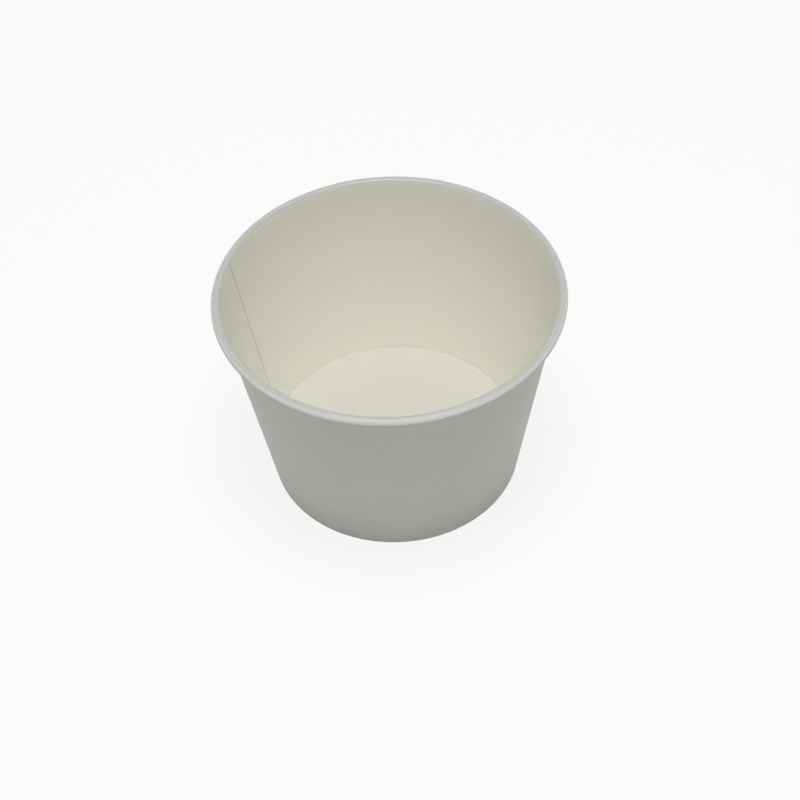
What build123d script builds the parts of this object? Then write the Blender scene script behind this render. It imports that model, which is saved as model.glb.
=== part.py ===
"""A round, tapered paper food cup: a wrapped side wall and a recessed base disc.

Millimetres, +Z up. The origin is the centre of the foot, on the surface that the cup stands on.
"""
from build123d import *
from math import asin, atan2, ceil, cos, degrees, hypot, radians, sin, tan
import os

# Outer form
brim_diameter = 90.0      # across the outside of the rolled brim
cup_height = 60.3         # from the foot to the top of the brim
foot_diameter = 67.7      # across the wall's outer face, carried down to the foot

# Side wall's board, its brim and its foot
wall_board = 0.33         # thickness of the wall's paperboard
roll_diameter = 2.54      # outside of the brim's roll
roll_gap = 0.10           # slot left between one turn of the roll and the next
tuck_angle = 50.0         # how far the roll's raw edge is tucked in beyond one full turn
foot_bevel = 0.20         # bevel along both sides of the pressed fold at the foot

# Side seam
seam_azimuth = 162.0      # where the inner raw edge runs, turned from +X towards +Y
lap_width = 6.5           # overlap of the two plies, at half height
settle_width = 1.6        # length in which the outer ply settles back past the inner raw edge

# Base disc
base_board = 0.30         # thickness of the base's paperboard
floor_height = 4.85       # top of the floor above the foot
base_bend = 0.45          # inner radius of the bend between floor and skirt
hem_relief = 0.40         # from the hem's raw edge up to where that bend begins
seal_gap = 0.02           # film of sealant between the base's skirt and the board round it

# Rolls and bends are drawn in flats, none of which turns by more than this
flat_turn = 40.0

# The roll, and the slant of the wall that runs into it
roll_radius = roll_diameter / 2
roll_centre = Vector(brim_diameter / 2 - roll_radius, cup_height - roll_radius)
spread = roll_centre.X - foot_diameter / 2
slant = atan2(spread, roll_centre.Y) - asin((roll_radius - wall_board) / hypot(spread, roll_centre.Y))
lean = degrees(slant)
outward = Vector(cos(slant), -sin(slant))
shrink = (wall_board + roll_gap) / (1 + cos(slant))

# Layers at the foot
skirt_slot = base_board + 2 * seal_gap
hem_height = floor_height - base_board - base_bend - hem_relief

# The seam's widths as angles round the axis, at half height
half_height_radius = (brim_diameter + foot_diameter) / 4
lap_angle = degrees(lap_width / half_height_radius)
settle_angle = degrees(settle_width / half_height_radius)


def wall_point(offset, height):
    """A point at this height, this far outside the wall's inner face (negative towards the axis)."""
    inner_foot = foot_diameter / 2 - wall_board / cos(slant)
    return Vector(inner_foot + height * tan(slant) + offset / cos(slant), height)


def bend(centre, radius, start, turn):
    """Points round a bend drawn in flats, from the start angle through this turn, in degrees."""
    flats = ceil(abs(turn) / flat_turn)
    angles = [radians(start + turn * k / flats) for k in range(flats + 1)]
    return [centre + Vector(cos(angle), sin(angle)) * radius for angle in angles]


def roll_face(depth):
    """The roll's spiral at this depth below its outer surface, from the wall to the tucked raw edge."""
    second_centre = roll_centre + Vector(shrink, 0)
    third_centre = second_centre - outward * shrink
    radius = roll_radius - depth
    rising = bend(roll_centre, radius, 180 - lean, lean - 90)
    falling = bend(roll_centre, radius, 90, -90)
    returning = bend(second_centre, radius - shrink, 0, -180 - lean)
    tucked = bend(third_centre, radius - 2 * shrink, -180 - lean, -tuck_angle)
    return rising + falling[1:] + returning[1:] + tucked[1:]


def ply_section(step):
    """Section of one ply from the hem's raw edge to the tucked end of the roll.

    The step is how far the ply lies behind the cup's inner face: nothing for the inner ply, and one
    board for the outer ply of the lap. Both plies share the level of the foot, where they are pressed.
    """
    hem_side = -(skirt_slot + step)
    hem_inner = wall_point(hem_side, hem_height)
    hem_outer = hem_inner - outward * wall_board
    hem_foot = wall_point(hem_side - wall_board, 0)
    wall_foot = wall_point(step + wall_board, 0)
    slot_hem = wall_point(hem_side, wall_board)
    slot_wall = wall_point(step, wall_board)
    front = roll_face(step)
    back = roll_face(step + wall_board)[::-1]
    outline = [hem_inner, slot_hem, slot_wall] + front + back + [wall_foot, hem_foot, hem_outer]
    section = make_face(Polyline(*outline, close=True))
    return chamfer(section.vertices().group_by(Axis.Y)[0], foot_bevel)


def standing(section, azimuth):
    """The section stood upright on the cup's axis, at this azimuth."""
    return Rot(0, 0, azimuth) * (Plane.XZ * section)


def make_side_wall():
    """One wrapped board: a single ply all round, doubled in the lap, with a raw edge on each face."""
    inner_ply = ply_section(0)
    outer_ply = ply_section(wall_board)
    lap_start = seam_azimuth - lap_angle
    settled = seam_azimuth + settle_angle
    single = revolve(standing(inner_ply, settled), Axis.Z, 360 - lap_angle - settle_angle)
    lapped = revolve(standing(inner_ply + outer_ply, lap_start), Axis.Z, lap_angle)
    settling = loft([standing(outer_ply, seam_azimuth), standing(inner_ply, settled)], ruled=True)
    return single + lapped + settling


def make_base_disc():
    """A flat floor, bent at its edge into a skirt that follows the wall down to the fold of the hem."""
    skirt_foot = wall_board + seal_gap
    bend_radius = base_bend + base_board
    bend_centre = wall_point(-seal_gap - bend_radius, floor_height - bend_radius)
    upper = bend(bend_centre, bend_radius, 90, -90 - lean)
    under = bend(bend_centre, base_bend, -lean, 90 + lean)
    skirt = [wall_point(-seal_gap, skirt_foot), wall_point(-seal_gap - base_board, skirt_foot)]
    middle = [Vector(0, floor_height - base_board), Vector(0, floor_height)]
    section = make_face(Polyline(*upper, *skirt, *under, *middle, close=True))
    return revolve(standing(section, 0), Axis.Z, 360)


os.makedirs("parts", exist_ok=True)
export_step(make_side_wall(), "parts/side_wall.step")
export_step(make_base_disc(), "parts/base_disc.step")
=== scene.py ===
"""The looks of a round paper food cup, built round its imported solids. Lengths are in metres."""
import math

import bmesh
import bpy
from bpy.props import FloatProperty, FloatVectorProperty, IntProperty, PointerProperty
from bpy.types import Operator, Panel, PropertyGroup
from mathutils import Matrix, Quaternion, Vector


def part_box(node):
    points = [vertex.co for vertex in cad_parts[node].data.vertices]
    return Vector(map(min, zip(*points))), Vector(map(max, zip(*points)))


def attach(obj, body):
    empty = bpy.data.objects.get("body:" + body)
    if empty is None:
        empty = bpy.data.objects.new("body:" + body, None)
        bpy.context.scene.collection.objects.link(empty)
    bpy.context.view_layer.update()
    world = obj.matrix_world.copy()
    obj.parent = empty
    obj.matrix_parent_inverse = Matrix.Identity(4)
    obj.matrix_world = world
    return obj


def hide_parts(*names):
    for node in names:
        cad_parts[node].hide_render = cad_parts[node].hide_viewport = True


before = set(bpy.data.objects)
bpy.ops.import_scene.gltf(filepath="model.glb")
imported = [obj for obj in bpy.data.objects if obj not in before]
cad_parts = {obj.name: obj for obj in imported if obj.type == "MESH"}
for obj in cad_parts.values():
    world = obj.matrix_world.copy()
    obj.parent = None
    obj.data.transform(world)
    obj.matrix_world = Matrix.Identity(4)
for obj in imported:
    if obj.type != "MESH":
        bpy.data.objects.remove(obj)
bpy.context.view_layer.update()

bl_info = {
    "name": "Paper food cup",
    "version": (1, 0, 0),
    "blender": (4, 5, 0),
    "location": "3D View > Sidebar > Paper cup",
    "description": "Builds a white paper food cup from two pieces of board, in a plain studio",
    "category": "Add Mesh",
}

# The cup's outer form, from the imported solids
BRIM_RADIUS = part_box("side_wall")[1][0]
CUP_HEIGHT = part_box("side_wall")[1][2]
BASE_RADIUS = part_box("base_disc")[1][0]
FLOOR_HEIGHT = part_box("base_disc")[1][2]

MILLIMETRE = 0.001

# Rows of faces along each board's section, and the most that one row turns in a bend
HEM_ROWS = 4
WALL_ROWS = 19
SHOULDER_ROWS = 2
FLOOR_ROWS = 16
SKIRT_ROWS = 4
BEND_STEP = math.radians(10)

# Cuts across the settling ply, and columns beside the lap in which its lifted fold comes down again
SETTLING_CUTS = 3
FADE_COLUMNS = 6

# How near to its azimuth a vertex is taken to stand, in radians, and how near two vertices are welded
AZIMUTH_TOLERANCE = 0.001
WELD_DISTANCE = 0.001 * MILLIMETRE

# Edges sharper than the first angle are softened, and those sharper than the second are shaded crisp
SOFTENED_ANGLE = math.radians(60)
CRISP_ANGLE = math.radians(40)

# Where the film's colour changes into painted shade over the brim's roll and down its outer side, and
# the base's into painted light at its bend, as depths inside the outer radius of the brim or of the base
ROLL_SHADE_FROM, ROLL_SHADE_TO = 2.62 * MILLIMETRE, 2.2 * MILLIMETRE
FLANK_SHADE_FROM, FLANK_SHADE_TO = 0.9 * MILLIMETRE, 0.1 * MILLIMETRE
BEND_LIGHT_FROM, BEND_LIGHT_TO = 0.6 * MILLIMETRE, 0.3 * MILLIMETRE

# Where the raw edge begins to darken and is darkest, as shares of the cup's height
EDGE_SHADE_FROM, EDGE_SHADE_TO = 0.6, 0.95

# The board's surface: how much its roughness varies, how high its tooth stands, and how it reflects
ROUGHNESS_SPREAD = 0.05
TOOTH_HEIGHT = 0.1 * MILLIMETRE
FILM_IOR = 1.45

# Each lamp's name, width and place. The fills stand low, so that they light little but the outside.
OVERHEAD_LAMP = ("Overhead lamp", 0.35, (0.008, -0.06, 0.75))
FILL_LAMPS = (
    ("Left fill", 0.08, (-0.68, -0.32, 0.045)),
    ("Right fill", 0.08, (0.68, -0.32, 0.045)),
    ("Front fill", 0.08, (0, -0.75, 0.045)),
)
LAMP_AIM = (0, 0, 0.03)

# The camera's frame, in millimetres, and the distances between which it sees
SENSOR_WIDTH = 36
CLIP_START = 10 * MILLIMETRE
CLIP_END = 100


class CupShape(PropertyGroup):
    """Sizes of the two boards. The cup's height, its brim and its floor come from the frame."""

    foot_radius: FloatProperty(
        name="Foot radius", description="The wall's outer face, carried down to the foot",
        default=33.85 * MILLIMETRE, unit="LENGTH")
    wall_board: FloatProperty(
        name="Wall board", description="Thickness of the wall's paperboard",
        default=0.33 * MILLIMETRE, unit="LENGTH", precision=5)
    base_board: FloatProperty(
        name="Base board", description="Thickness of the base's paperboard",
        default=0.30 * MILLIMETRE, unit="LENGTH", precision=5)
    roll_radius: FloatProperty(
        name="Roll radius", description="Outside of the brim's roll",
        default=1.27 * MILLIMETRE, unit="LENGTH", precision=5)
    roll_gap: FloatProperty(
        name="Roll gap", description="Slot between one turn of the roll and the next",
        default=0.10 * MILLIMETRE, unit="LENGTH", precision=5)
    tuck: FloatProperty(
        name="Tuck", description="How far the roll's raw edge is tucked in beyond one turn",
        default=math.radians(50), subtype="ANGLE")
    seam_azimuth: FloatProperty(
        name="Seam azimuth", description="Where the inner raw edge runs, from +X towards +Y",
        default=math.radians(162), subtype="ANGLE")
    lap_width: FloatProperty(
        name="Lap", description="Overlap of the two plies, at half height",
        default=6.5 * MILLIMETRE, unit="LENGTH")
    brim_step: FloatProperty(
        name="Brim step", description="Step at the seam over the brim, where the roll is pressed flat",
        default=0.14 * MILLIMETRE, unit="LENGTH", precision=5)
    shoulder: FloatProperty(
        name="Shoulder", description="Height below the roll, where the outer ply goes over to that step",
        default=2.6 * MILLIMETRE, unit="LENGTH", precision=5)
    settle_width: FloatProperty(
        name="Settling", description="Length in which the outer ply settles back past the raw edge",
        default=1.6 * MILLIMETRE, unit="LENGTH")
    base_bend: FloatProperty(
        name="Base bend", description="Inner radius of the bend between the floor and its skirt",
        default=0.14 * MILLIMETRE, unit="LENGTH", precision=5)
    hem_height: FloatProperty(
        name="Hem height", description="From the foot up to the hem's raw edge",
        default=3.70 * MILLIMETRE, unit="LENGTH", precision=5)
    seal_gap: FloatProperty(
        name="Seal", description="Film between the plies, and round the base's skirt",
        default=0.02 * MILLIMETRE, unit="LENGTH", precision=5)
    fold_radius: FloatProperty(
        name="Fold radius", description="Inner radius of the creases at the foot",
        default=0.10 * MILLIMETRE, unit="LENGTH", precision=5)
    edge_bevel: FloatProperty(
        name="Edge bevel", description="Softening of the board's raw edges",
        default=0.07 * MILLIMETRE, unit="LENGTH", precision=5)
    columns: IntProperty(name="Columns", description="Faces round the cup", default=240, min=24)


class CupFinish(PropertyGroup):
    """Colours of the board, as linear light. The colours over the brim's roll and of the base hold
    painted shade, and the colour of the base's bend holds painted light.
    """

    film: FloatVectorProperty(
        name="Film", description="Coated side of the wall, which faces the food", subtype="COLOR",
        default=(0.932, 0.921, 0.834), min=0, max=1)
    # Painted shade: the film over the brim's roll is the wall's own film, written darker here because
    # the roll's top catches the most light.
    roll_painted_shade: FloatVectorProperty(
        name="Curl", description="The same film, stretched over the brim's roll", subtype="COLOR",
        default=(0.521, 0.524, 0.488), min=0, max=1)
    # Painted shade: the same film down the outside of the roll, written darker than the wall's to stand
    # in for the shade that falls there.
    flank_painted_shade: FloatVectorProperty(
        name="Flank", description="The same film, down the outside of the roll", subtype="COLOR",
        default=(0.80, 0.805, 0.765), min=0, max=1)
    print_side: FloatVectorProperty(
        name="Outside", description="Smooth outer side of the wall", subtype="COLOR",
        default=(0.92, 0.928, 0.862), min=0, max=1)
    # Painted shade: the base is the same white coated board, written darker than the wall because its
    # upward face gets more light.
    base_top_with_painted_shade: FloatVectorProperty(
        name="Base", description="Coated top of the base", subtype="COLOR",
        default=(0.565, 0.556, 0.508), min=0, max=1)
    # Painted light: the bend is written lighter than the base to take out the shade that falls in the
    # corner.
    base_bend: FloatVectorProperty(
        name="Base's bend", description="Coated top of the base, where it bends down", subtype="COLOR",
        default=(0.618, 0.609, 0.552), min=0, max=1)
    raw_edge: FloatVectorProperty(
        name="Raw edge", description="Cut fibres along the edge of the board", subtype="COLOR",
        default=(0.95, 0.935, 0.855), min=0, max=1)
    edge_shade: FloatVectorProperty(
        name="Edge shade", description="The raw edge's colour up by the brim", subtype="COLOR",
        default=(0.84, 0.84, 0.80), min=0, max=1)


class CupStudio(PropertyGroup):
    """Camera, lamps and floor."""

    camera_distance: FloatProperty(
        name="Camera distance", description="From the middle of the brim",
        default=405 * MILLIMETRE, unit="LENGTH")
    camera_elevation: FloatProperty(
        name="Camera elevation", description="Above the plane of the brim",
        default=math.radians(43.51), subtype="ANGLE")
    camera_roll: FloatProperty(
        name="Camera roll", description="Turn about the line of sight",
        default=math.radians(-2.545), subtype="ANGLE")
    camera_aim: FloatVectorProperty(
        name="Camera aim", description="A point that the line of sight passes through",
        default=(1.56 * MILLIMETRE, 0.0, 18.97 * MILLIMETRE), subtype="TRANSLATION")
    lens: FloatProperty(
        name="Lens", description="Focal length in millimetres, for a frame 36 mm wide",
        default=72.24, unit="CAMERA")
    sky: FloatProperty(
        name="Sky", description="Strength of the even light from all round", default=0.109)
    lamp_power: FloatProperty(
        name="Lamp", description="Power of the overhead lamp", default=4.48, unit="POWER")
    fill_power: FloatProperty(
        name="Fills", description="Power of each of the three low lamps", default=0.23, unit="POWER")
    backdrop: FloatVectorProperty(
        name="Backdrop", description="Colour of the studio round the cup", subtype="COLOR",
        default=(1.0, 0.98, 0.98), min=0, max=1)
    floor_radius: FloatProperty(
        name="Floor radius", description="How far the floor reaches", default=4, unit="LENGTH")
    floor_tone: FloatVectorProperty(
        name="Floor", description="The floor's tone, in the light that it throws back on the cup",
        subtype="COLOR", default=(0.50, 0.50, 0.49), min=0, max=1)
    floor_seen: FloatVectorProperty(
        name="Floor as seen", description="The floor's tone, where the camera sees the cup's shadow",
        subtype="COLOR", default=(0.92, 0.92, 0.92), min=0, max=1)
    floor_glow: FloatProperty(
        name="Floor's own light", description="Share of the backdrop's colour in the floor by the cup",
        default=0.88, min=0, max=1, subtype="FACTOR")
    fade_start: FloatProperty(
        name="Fade from", description="Distance from the cup where the floor begins to turn plain",
        default=150 * MILLIMETRE, unit="LENGTH")
    fade_end: FloatProperty(
        name="Fade to", description="Distance from the cup where the floor has the backdrop's colour",
        default=500 * MILLIMETRE, unit="LENGTH")


# Edit-mode helpers


def select_vertices(piece, keep):
    """Selects the vertices of the piece in edit mode for which keep() is true, and nothing else."""
    bpy.ops.mesh.select_mode(type="VERT")
    bpy.ops.mesh.select_all(action="DESELECT")
    mesh = bmesh.from_edit_mesh(piece.data)
    for vertex in mesh.verts:
        vertex.select = keep(vertex)
    mesh.select_flush(True)
    bmesh.update_edit_mesh(piece.data)


def begin_piece(name):
    """Starts a piece as one selected vertex in edit mode, with its object at the origin."""
    bpy.ops.object.select_all(action="DESELECT")
    bpy.ops.mesh.primitive_plane_add(size=MILLIMETRE, location=(0, 0, 0))
    piece = bpy.context.object
    piece.name = name
    piece.data.name = name
    bpy.ops.object.mode_set(mode="EDIT")
    bpy.ops.mesh.select_mode(type="VERT")
    bpy.ops.mesh.merge(type="CENTER")
    return piece


def add_point():
    """Adds one selected vertex at the origin to the mesh in edit mode."""
    bpy.ops.mesh.select_all(action="DESELECT")
    bpy.ops.mesh.primitive_plane_add(size=MILLIMETRE, location=(0, 0, 0))
    bpy.ops.mesh.merge(type="CENTER")


def carry_to(at):
    """Carries the selected vertex from the origin to a place in the upright plane through the axis."""
    bpy.ops.transform.translate(value=(at.x, 0, at.y))


def draw_line(start, end, steps):
    """Extrudes the selected vertex from the start to the end in equal steps."""
    step = (end - start) / steps
    for _ in range(steps):
        bpy.ops.mesh.extrude_vertices_move(TRANSFORM_OT_translate={"value": (step.x, 0, step.y)})


def draw_arc(centre, turn):
    """Carries the selected vertex round a centre, anticlockwise for a positive turn."""
    steps = math.ceil(abs(turn) / BEND_STEP)
    bpy.ops.mesh.spin(steps=steps, angle=turn, center=(centre.x, 0, centre.y), axis=(0, 1, 0))


def at_azimuth(vertex, azimuth):
    """Whether the vertex stands at this azimuth."""
    difference = math.atan2(vertex.co.y, vertex.co.x) - azimuth
    return abs(math.remainder(difference, math.tau)) < AZIMUTH_TOLERANCE


def spin_round(turn, steps):
    """Carries the selected wire round the cup's axis, anticlockwise from above."""
    bpy.ops.mesh.spin(steps=steps, angle=-turn, center=(0, 0, 0), axis=(0, 0, 1))


def face_towards_food(piece, height):
    """Makes the normals agree, with those of the wall at this height pointing to the cup's axis."""
    bpy.ops.mesh.select_all(action="SELECT")
    bpy.ops.mesh.normals_make_consistent(inside=False)
    mesh = bmesh.from_edit_mesh(piece.data)
    wall = min(mesh.faces, key=lambda face: abs(face.calc_center_median().z - height))
    middle = wall.calc_center_median()
    if wall.normal.dot(Vector((middle.x, middle.y, 0))) > 0:
        bpy.ops.mesh.flip_normals()


def thicken(piece, board, bevel, materials):
    """Gives the sheet its thickness behind the film, and softens its raw edges.

    The materials are those of the film side, the back and the raw edges.
    """
    for material in materials:
        piece.data.materials.append(material)
    solid = piece.modifiers.new("Board", "SOLIDIFY")
    solid.thickness = board
    solid.offset = -1
    solid.use_even_offset = True
    solid.material_offset = 1
    solid.material_offset_rim = 2
    soften = piece.modifiers.new("Soft edges", "BEVEL")
    soften.width = bevel
    soften.segments = 2
    soften.limit_method = "ANGLE"
    soften.angle_limit = SOFTENED_ANGLE
    for modifier in (solid, soften):
        bpy.ops.object.modifier_apply(modifier=modifier.name)
    bpy.ops.object.shade_smooth_by_angle(angle=CRISP_ANGLE)


# The wall's section, in the plane of the radius (x) and the height (y)


class WallSection:
    """Places on the section of the wall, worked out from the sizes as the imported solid's are."""

    def __init__(self, shape):
        self.shape = shape
        self.centre = Vector((BRIM_RADIUS - shape.roll_radius, CUP_HEIGHT - shape.roll_radius))
        spread = self.centre.x - shape.foot_radius
        tangent = (shape.roll_radius - shape.wall_board) / math.hypot(spread, self.centre.y)
        self.slant = math.atan2(spread, self.centre.y) - math.asin(tangent)
        self.upward = Vector((math.sin(self.slant), math.cos(self.slant)))
        self.outward = Vector((math.cos(self.slant), -math.sin(self.slant)))
        self.shrink = (shape.wall_board + shape.roll_gap) / (1 + math.cos(self.slant))
        self.skirt_slot = shape.base_board + 2 * shape.seal_gap
        half_height_radius = (BRIM_RADIUS + shape.foot_radius) / 2
        self.lap = shape.lap_width / half_height_radius
        self.settling = shape.settle_width / half_height_radius

    def wall_point(self, offset, height):
        """A point at this height, this far outside the wall's inner face."""
        inner_foot = self.shape.foot_radius - self.shape.wall_board / math.cos(self.slant)
        inner_face = inner_foot + height * math.tan(self.slant)
        return Vector((inner_face + offset / math.cos(self.slant), height))


def draw_ply(section, step, brim_step):
    """Draws the film side of one ply from the selected vertex: hem, fold, wall and roll.

    The steps are how far the ply lies behind the cup's inner face, along the wall and round the roll.
    """
    shape = section.shape
    fold = shape.fold_radius
    hem_side = -(section.skirt_slot + step)
    hem_end = section.wall_point(hem_side, shape.hem_height)
    hem_turn = math.pi / 2 + section.slant
    wall_turn = math.pi / 2 - section.slant
    hem_corner = section.wall_point(hem_side, shape.wall_board)
    wall_corner = section.wall_point(step, shape.wall_board)
    hem_crease = hem_corner + section.upward * fold * math.tan(hem_turn / 2)
    land_start = hem_corner + Vector((fold * math.tan(hem_turn / 2), 0))
    land_end = wall_corner - Vector((fold * math.tan(wall_turn / 2), 0))
    wall_crease = wall_corner + section.upward * fold * math.tan(wall_turn / 2)
    carry_to(hem_end)
    draw_line(hem_end, hem_crease, HEM_ROWS)
    draw_arc(hem_crease + section.outward * fold, hem_turn)
    draw_line(land_start, land_end, 1)
    draw_arc(land_end + Vector((0, fold)), wall_turn)
    radius = shape.roll_radius - brim_step
    roll_start = section.centre - section.outward * radius
    shoulder = section.wall_point(step, roll_start.y - shape.shoulder)
    draw_line(wall_crease, shoulder, WALL_ROWS)
    draw_line(shoulder, roll_start, SHOULDER_ROWS)
    second_centre = section.centre + Vector((section.shrink, 0))
    third_centre = second_centre - section.outward * section.shrink
    draw_arc(section.centre, section.slant - math.pi / 2)
    draw_arc(section.centre, -math.pi / 2)
    draw_arc(second_centre, -math.pi - section.slant)
    draw_arc(third_centre, -shape.tuck)


def lift_fold(piece, section, lap_step):
    """Lifts the inner ply's fold in the lap, so that it clears the outer ply's fold under it.

    Outside the lap the lift fades out over the next columns.
    """
    shape = section.shape
    fold_top = shape.wall_board + 2 * shape.fold_radius + lap_step
    for columns in range(FADE_COLUMNS):
        reach = section.lap + columns * math.tau / shape.columns + AZIMUTH_TOLERANCE

        def is_lifted(vertex):
            behind_edge = -math.atan2(vertex.co.y, vertex.co.x)
            return vertex.co.z < fold_top and -AZIMUTH_TOLERANCE < behind_edge < reach

        select_vertices(piece, is_lifted)
        bpy.ops.transform.translate(value=(0, 0, lap_step / FADE_COLUMNS))


def model_side_wall(shape, materials):
    """The wrapped board: a sheet that laps over itself at the seam, with a hem and a rolled brim."""
    section = WallSection(shape)
    lap_step = shape.wall_board + shape.seal_gap
    lap_columns = math.ceil(shape.columns * section.lap / math.tau)

    piece = begin_piece("side_wall_board")
    draw_ply(section, 0, 0)
    bpy.ops.mesh.select_all(action="SELECT")
    spin_round(-section.lap, lap_columns)
    select_vertices(piece, lambda vertex: at_azimuth(vertex, -section.lap))
    spin_round(section.lap + section.settling - math.tau, shape.columns - lap_columns)
    lift_fold(piece, section, lap_step)

    inner_count = len(bmesh.from_edit_mesh(piece.data).verts)
    add_point()
    draw_ply(section, lap_step, shape.brim_step)
    select_vertices(piece, lambda vertex: vertex.index >= inner_count)
    spin_round(-section.lap, lap_columns)

    def is_settling_end(vertex):
        if vertex.index < inner_count:
            return at_azimuth(vertex, section.settling)
        return at_azimuth(vertex, 0)

    select_vertices(piece, is_settling_end)
    bpy.ops.mesh.bridge_edge_loops(number_cuts=SETTLING_CUTS, interpolation="LINEAR")
    face_towards_food(piece, CUP_HEIGHT / 2)
    bpy.ops.object.mode_set(mode="OBJECT")
    piece.rotation_euler.z = shape.seam_azimuth
    bpy.ops.object.transform_apply(location=False, rotation=True, scale=False)
    thicken(piece, shape.wall_board, shape.edge_bevel, materials)
    return piece


def model_base_disc(shape, materials):
    """The base: a flat floor, bent down at its edge into a skirt that reaches into the hem."""
    section = WallSection(shape)
    radius = shape.base_bend + shape.base_board
    centre = section.wall_point(-shape.seal_gap - radius, FLOOR_HEIGHT - radius)
    skirt_foot = 2 * (shape.wall_board + shape.seal_gap)
    middle = Vector((0, FLOOR_HEIGHT))
    bend_start = centre + Vector((0, radius))
    bend_end = centre + section.outward * radius
    skirt_end = section.wall_point(-shape.seal_gap, skirt_foot)

    piece = begin_piece("base_disc_board")
    carry_to(middle)
    draw_line(middle, bend_start, FLOOR_ROWS)
    draw_arc(centre, -math.pi / 2 - section.slant)
    draw_line(bend_end, skirt_end, SKIRT_ROWS)
    bpy.ops.mesh.select_all(action="SELECT")
    spin_round(math.tau, shape.columns)
    bpy.ops.mesh.select_all(action="SELECT")
    bpy.ops.mesh.remove_doubles(threshold=WELD_DISTANCE)
    bpy.ops.mesh.normals_make_consistent(inside=False)
    bpy.ops.object.mode_set(mode="OBJECT")
    thicken(piece, shape.base_board, shape.edge_bevel, materials)
    return piece


# Materials


def new_group(name, inputs, outputs):
    """A shader node group with its named sockets, its group input and its group output."""
    group = bpy.data.node_groups.new(name, "ShaderNodeTree")
    for title, kind, default in inputs:
        socket = group.interface.new_socket(name=title, in_out="INPUT", socket_type=kind)
        if default is not None:
            socket.default_value = default
    for title, kind in outputs:
        group.interface.new_socket(name=title, in_out="OUTPUT", socket_type=kind)
    return group, group.nodes.new("NodeGroupInput"), group.nodes.new("NodeGroupOutput")


def add_noise(tree, vector, scale, detail):
    """A noise texture on this vector."""
    noise = tree.nodes.new("ShaderNodeTexNoise")
    noise.inputs["Detail"].default_value = detail
    tree.links.new(vector, noise.inputs["Vector"])
    tree.links.new(scale, noise.inputs["Scale"])
    return noise.outputs["Fac"]


def add_math(tree, operation, first, second):
    """The two values added, multiplied or compared."""
    node = tree.nodes.new("ShaderNodeMath")
    node.operation = operation
    tree.links.new(first, node.inputs[0])
    tree.links.new(second, node.inputs[1])
    return node.outputs["Value"]


def add_slope(tree, value, start, end, low=0.0, high=1.0):
    """Goes smoothly from low to high while the value goes from start to end."""
    slope = tree.nodes.new("ShaderNodeMapRange")
    slope.interpolation_type = "SMOOTHSTEP"
    slope.inputs["From Min"].default_value = start
    slope.inputs["From Max"].default_value = end
    slope.inputs["To Min"].default_value = low
    slope.inputs["To Max"].default_value = high
    tree.links.new(value, slope.inputs["Value"])
    return slope.outputs["Result"]


def add_axis_distance(tree):
    """The distance from the cup's axis."""
    place = tree.nodes.new("ShaderNodeTexCoord")
    flat = tree.nodes.new("ShaderNodeVectorMath")
    flat.operation = "MULTIPLY"
    flat.inputs[1].default_value = (1, 1, 0)
    tree.links.new(place.outputs["Object"], flat.inputs[0])
    distance = tree.nodes.new("ShaderNodeVectorMath")
    distance.operation = "LENGTH"
    tree.links.new(flat.outputs["Vector"], distance.inputs[0])
    return distance.outputs["Value"]


def make_board_grain():
    """Formation of paperboard: cloudy fibre density, fine tooth and the slow waves of the sheet."""
    group, given, result = new_group(
        "Board grain",
        [("Vector", "NodeSocketVector", None),
         ("Cloud scale", "NodeSocketFloat", 260.0),
         ("Tooth scale", "NodeSocketFloat", 5200.0),
         ("Tooth", "NodeSocketFloat", 0.35),
         ("Wave scale", "NodeSocketFloat", 60.0),
         ("Wave", "NodeSocketFloat", 0.65)],
        [("Cloud", "NodeSocketFloat"), ("Height", "NodeSocketFloat")])
    vector = given.outputs["Vector"]
    cloud = add_noise(group, vector, given.outputs["Cloud scale"], detail=4)
    tooth = add_noise(group, vector, given.outputs["Tooth scale"], detail=2)
    wave = add_noise(group, vector, given.outputs["Wave scale"], detail=1)
    tooth_share = add_math(group, "MULTIPLY", tooth, given.outputs["Tooth"])
    wave_share = add_math(group, "MULTIPLY", wave, given.outputs["Wave"])
    group.links.new(cloud, result.inputs["Cloud"])
    group.links.new(add_math(group, "ADD", tooth_share, wave_share), result.inputs["Height"])
    return group


def make_board_material(name, colour, grain, roughness, cloud=0.012, bump=0.12):
    """A board finish: its colour clouded by the sheet's formation, with its tooth as bump."""
    material = bpy.data.materials.new(name)
    material.use_nodes = True
    tree = material.node_tree
    shader = tree.nodes["Principled BSDF"]
    place = tree.nodes.new("ShaderNodeTexCoord")
    board = tree.nodes.new("ShaderNodeGroup")
    board.node_tree = grain
    tree.links.new(place.outputs["Object"], board.inputs["Vector"])
    tint = tree.nodes.new("ShaderNodeMix")
    tint.data_type = "RGBA"
    tint.inputs["A"].default_value = [channel * (1 - cloud) for channel in colour] + [1]
    tint.inputs["B"].default_value = [min(channel * (1 + cloud), 1) for channel in colour] + [1]
    tree.links.new(board.outputs["Cloud"], tint.inputs["Factor"])
    tree.links.new(tint.outputs["Result"], shader.inputs["Base Color"])
    spread = tree.nodes.new("ShaderNodeMapRange")
    spread.inputs["To Min"].default_value = roughness - ROUGHNESS_SPREAD
    spread.inputs["To Max"].default_value = roughness + ROUGHNESS_SPREAD
    tree.links.new(board.outputs["Cloud"], spread.inputs["Value"])
    tree.links.new(spread.outputs["Result"], shader.inputs["Roughness"])
    relief = tree.nodes.new("ShaderNodeBump")
    relief.inputs["Strength"].default_value = bump
    relief.inputs["Distance"].default_value = TOOTH_HEIGHT
    tree.links.new(board.outputs["Height"], relief.inputs["Height"])
    tree.links.new(relief.outputs["Normal"], shader.inputs["Normal"])
    shader.inputs["IOR"].default_value = FILM_IOR
    return material


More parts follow.
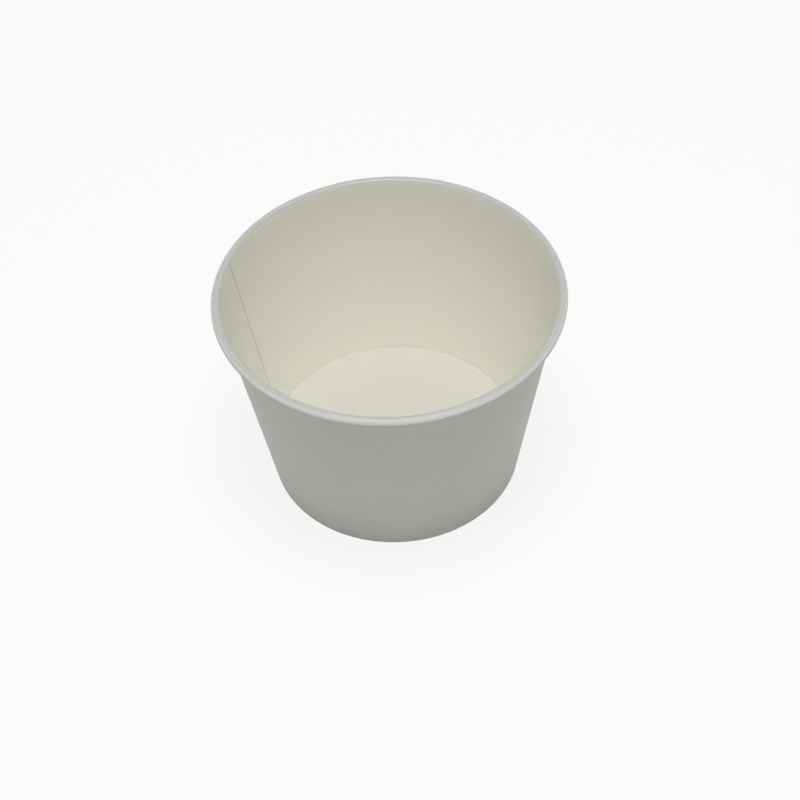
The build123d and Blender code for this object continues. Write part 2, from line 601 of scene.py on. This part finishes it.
def paint_roll_shade(material, roll_painted_shade, flank_painted_shade):
    """Paints shade into the film's colour over the roll, and a lighter painted shade down the roll's
    outer side.
    """
    tree = material.node_tree
    radius = add_axis_distance(tree)
    blend_colour(tree, radius, BRIM_RADIUS - ROLL_SHADE_FROM, BRIM_RADIUS - ROLL_SHADE_TO, roll_painted_shade)
    blend_colour(tree, radius, BRIM_RADIUS - FLANK_SHADE_FROM, BRIM_RADIUS - FLANK_SHADE_TO, flank_painted_shade)


def paint_bend_light(material, bend_painted_light):
    """Lightens the base's bend with painted light, against the shade that falls in the corner where the
    floor meets the wall.
    """
    tree = material.node_tree
    radius = add_axis_distance(tree)
    blend_colour(tree, radius, BASE_RADIUS - BEND_LIGHT_FROM, BASE_RADIUS - BEND_LIGHT_TO, bend_painted_light)


def shade_edge(material, shade):
    """Darkens the raw edge towards the brim, where the ply stands off and leaves a line of shadow."""
    tree = material.node_tree
    place = tree.nodes["Texture Coordinate"]
    parts = tree.nodes.new("ShaderNodeSeparateXYZ")
    tree.links.new(place.outputs["Object"], parts.inputs["Vector"])
    start, end = EDGE_SHADE_FROM * CUP_HEIGHT, EDGE_SHADE_TO * CUP_HEIGHT
    blend_colour(tree, parts.outputs["Z"], start, end, shade)


def blend_colour(tree, value, start, end, colour):
    """Turns the base colour smoothly into this one, between two levels of the value."""
    shader = tree.nodes["Principled BSDF"]
    before = shader.inputs["Base Color"].links[0].from_socket
    blend = tree.nodes.new("ShaderNodeMix")
    blend.data_type = "RGBA"
    blend.inputs["B"].default_value = (*colour, 1)
    tree.links.new(add_slope(tree, value, start, end), blend.inputs["Factor"])
    tree.links.new(before, blend.inputs["A"])
    tree.links.new(blend.outputs["Result"], shader.inputs["Base Color"])


def board_materials(finish, names):
    """The finishes with these names; all finishes are made the first time."""
    if "Film side" not in bpy.data.materials:
        grain = make_board_grain()
        film = make_board_material("Film side", finish.film, grain, roughness=0.42)
        # The film over the brim's roll gets painted shade.
        paint_roll_shade(film, finish.roll_painted_shade, finish.flank_painted_shade)
        make_board_material("Print side", finish.print_side, grain, roughness=0.55)
        # The base's colour is darkened with painted shade.
        base = make_board_material("Base top", finish.base_top_with_painted_shade, grain, roughness=0.45)
        # Its bend is lightened with painted light.
        paint_bend_light(base, finish.base_bend)
        edge = make_board_material(
            "Raw edge", finish.raw_edge, grain, roughness=0.7, cloud=0.06, bump=0.25)
        shade_edge(edge, finish.edge_shade)
    return [bpy.data.materials[name] for name in names]


# The studio


def make_floor_material(studio):
    """A plain pale floor that shows its own colour to the camera and keeps a soft shadow.

    Away from the cup only its own colour is left, so that the low lamps draw no bright patches on it.
    """
    material = bpy.data.materials.new("Studio floor")
    material.use_nodes = True
    tree = material.node_tree
    tree.nodes.remove(tree.nodes["Principled BSDF"])
    direct = add_direct_rays(tree, tree.nodes.new("ShaderNodeLightPath"))
    tone = tree.nodes.new("ShaderNodeMix")
    tone.data_type = "RGBA"
    tone.inputs["A"].default_value = (*studio.floor_tone, 1)
    tone.inputs["B"].default_value = (*studio.floor_seen, 1)
    tree.links.new(direct, tone.inputs["Factor"])
    paper = tree.nodes.new("ShaderNodeBsdfDiffuse")
    tree.links.new(tone.outputs["Result"], paper.inputs["Color"])
    glow = tree.nodes.new("ShaderNodeEmission")
    glow.inputs["Color"].default_value = (*studio.backdrop, 1)
    distance = add_axis_distance(tree)
    own = add_slope(tree, distance, studio.fade_start, studio.fade_end, low=studio.floor_glow)
    blend = tree.nodes.new("ShaderNodeMixShader")
    tree.links.new(add_math(tree, "MULTIPLY", direct, own), blend.inputs["Fac"])
    tree.links.new(paper.outputs["BSDF"], blend.inputs[1])
    tree.links.new(glow.outputs["Emission"], blend.inputs[2])
    tree.links.new(blend.outputs["Shader"], tree.nodes["Material Output"].inputs["Surface"])
    return material


def add_direct_rays(tree, seen):
    """One for camera, glossy and transmission rays, and nothing for the rays that light the cup."""
    rays = add_math(tree, "MAXIMUM", seen.outputs["Is Camera Ray"], seen.outputs["Is Glossy Ray"])
    return add_math(tree, "MAXIMUM", rays, seen.outputs["Is Transmission Ray"])


def set_world(studio):
    """Even light from all round, and the backdrop's colour where the camera looks past the floor."""
    world = bpy.data.worlds.new("Studio")
    bpy.context.scene.world = world
    world.use_nodes = True
    tree = world.node_tree
    light = tree.nodes["Background"]
    light.inputs["Color"].default_value = (1, 1, 1, 1)
    light.inputs["Strength"].default_value = studio.sky
    backdrop = tree.nodes.new("ShaderNodeBackground")
    backdrop.inputs["Color"].default_value = (*studio.backdrop, 1)
    seen = tree.nodes.new("ShaderNodeLightPath")
    blend = tree.nodes.new("ShaderNodeMixShader")
    tree.links.new(add_direct_rays(tree, seen), blend.inputs["Fac"])
    tree.links.new(light.outputs["Background"], blend.inputs[1])
    tree.links.new(backdrop.outputs["Background"], blend.inputs[2])
    tree.links.new(blend.outputs["Shader"], tree.nodes["World Output"].inputs["Surface"])


def add_lamp(lamp, power):
    """A square area lamp of this power, turned to the cup."""
    name, width, place = lamp
    light = bpy.data.lights.new(name, "AREA")
    light.energy = power
    light.size = width
    body = bpy.data.objects.new(name, light)
    bpy.context.scene.collection.objects.link(body)
    body.location = place
    body.rotation_mode = "QUATERNION"
    body.rotation_quaternion = (Vector(LAMP_AIM) - Vector(place)).to_track_quat("-Z", "Y")


def add_camera(studio):
    """The camera at the photograph's viewing angle."""
    reach = studio.camera_distance
    across = math.cos(studio.camera_elevation) * reach
    above = math.sin(studio.camera_elevation) * reach
    place = Vector((0, -across, CUP_HEIGHT + above))
    lens = bpy.data.cameras.new("Camera")
    lens.lens = studio.lens
    lens.sensor_width = SENSOR_WIDTH
    lens.clip_start = CLIP_START
    lens.clip_end = CLIP_END
    camera = bpy.data.objects.new("Camera", lens)
    bpy.context.scene.collection.objects.link(camera)
    camera.location = place
    camera.rotation_mode = "QUATERNION"
    level = (Vector(studio.camera_aim) - place).to_track_quat("-Z", "Y")
    camera.rotation_quaternion = level @ Quaternion((0, 0, 1), studio.camera_roll)
    bpy.context.scene.camera = camera


class CUP_OT_side_wall(Operator):
    """Builds the wrapped side wall, with its seam, its hem and its rolled brim"""

    bl_idname = "paper_cup.side_wall"
    bl_label = "Side wall"

    def execute(self, context):
        scene = context.scene
        materials = board_materials(scene.cup_finish, ("Film side", "Print side", "Raw edge"))
        piece = model_side_wall(scene.cup_shape, materials)
        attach(piece, "root")
        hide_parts("side_wall")
        return {"FINISHED"}


class CUP_OT_base_disc(Operator):
    """Builds the base disc, with its skirt"""

    bl_idname = "paper_cup.base_disc"
    bl_label = "Base disc"

    def execute(self, context):
        scene = context.scene
        materials = board_materials(scene.cup_finish, ("Base top", "Print side", "Raw edge"))
        piece = model_base_disc(scene.cup_shape, materials)
        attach(piece, "root")
        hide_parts("base_disc")
        return {"FINISHED"}


class CUP_OT_studio(Operator):
    """Sets up the floor, the world, the lamps and the camera"""

    bl_idname = "paper_cup.studio"
    bl_label = "Studio"

    def execute(self, context):
        studio = context.scene.cup_studio
        context.scene.view_settings.view_transform = "Standard"
        bpy.ops.object.select_all(action="DESELECT")
        bpy.ops.mesh.primitive_circle_add(
            vertices=96, radius=studio.floor_radius, fill_type="NGON", location=(0, 0, 0))
        floor = context.object
        floor.name = "studio_floor"
        floor.data.materials.append(make_floor_material(studio))
        set_world(studio)
        add_lamp(OVERHEAD_LAMP, studio.lamp_power)
        for lamp in FILL_LAMPS:
            add_lamp(lamp, studio.fill_power)
        add_camera(studio)
        return {"FINISHED"}


class CUP_PT_panel(Panel):
    """Lists the cup's pieces, sizes and colours"""

    bl_label = "Paper cup"
    bl_idname = "CUP_PT_panel"
    bl_space_type = "VIEW_3D"
    bl_region_type = "UI"
    bl_category = "Paper cup"

    def draw(self, context):
        scene = context.scene
        for operator in (CUP_OT_side_wall, CUP_OT_base_disc, CUP_OT_studio):
            self.layout.operator(operator.bl_idname)
        for settings in (scene.cup_shape, scene.cup_finish, scene.cup_studio):
            box = self.layout.box()
            for name in settings.__annotations__:
                box.prop(settings, name)


SETTINGS = {"cup_shape": CupShape, "cup_finish": CupFinish, "cup_studio": CupStudio}
CLASSES = (*SETTINGS.values(), CUP_OT_side_wall, CUP_OT_base_disc, CUP_OT_studio, CUP_PT_panel)


def register():
    """Registers the classes and hangs the settings on the scene."""
    for cls in CLASSES:
        bpy.utils.register_class(cls)
    for name, cls in SETTINGS.items():
        setattr(bpy.types.Scene, name, PointerProperty(type=cls))


def unregister():
    """Takes the settings and the classes away again."""
    for name in SETTINGS:
        delattr(bpy.types.Scene, name)
    for cls in reversed(CLASSES):
        bpy.utils.unregister_class(cls)


def main():
    register()
    bpy.ops.paper_cup.studio()
    bpy.ops.paper_cup.side_wall()
    bpy.ops.paper_cup.base_disc()


if __name__ == "__main__":
    main()
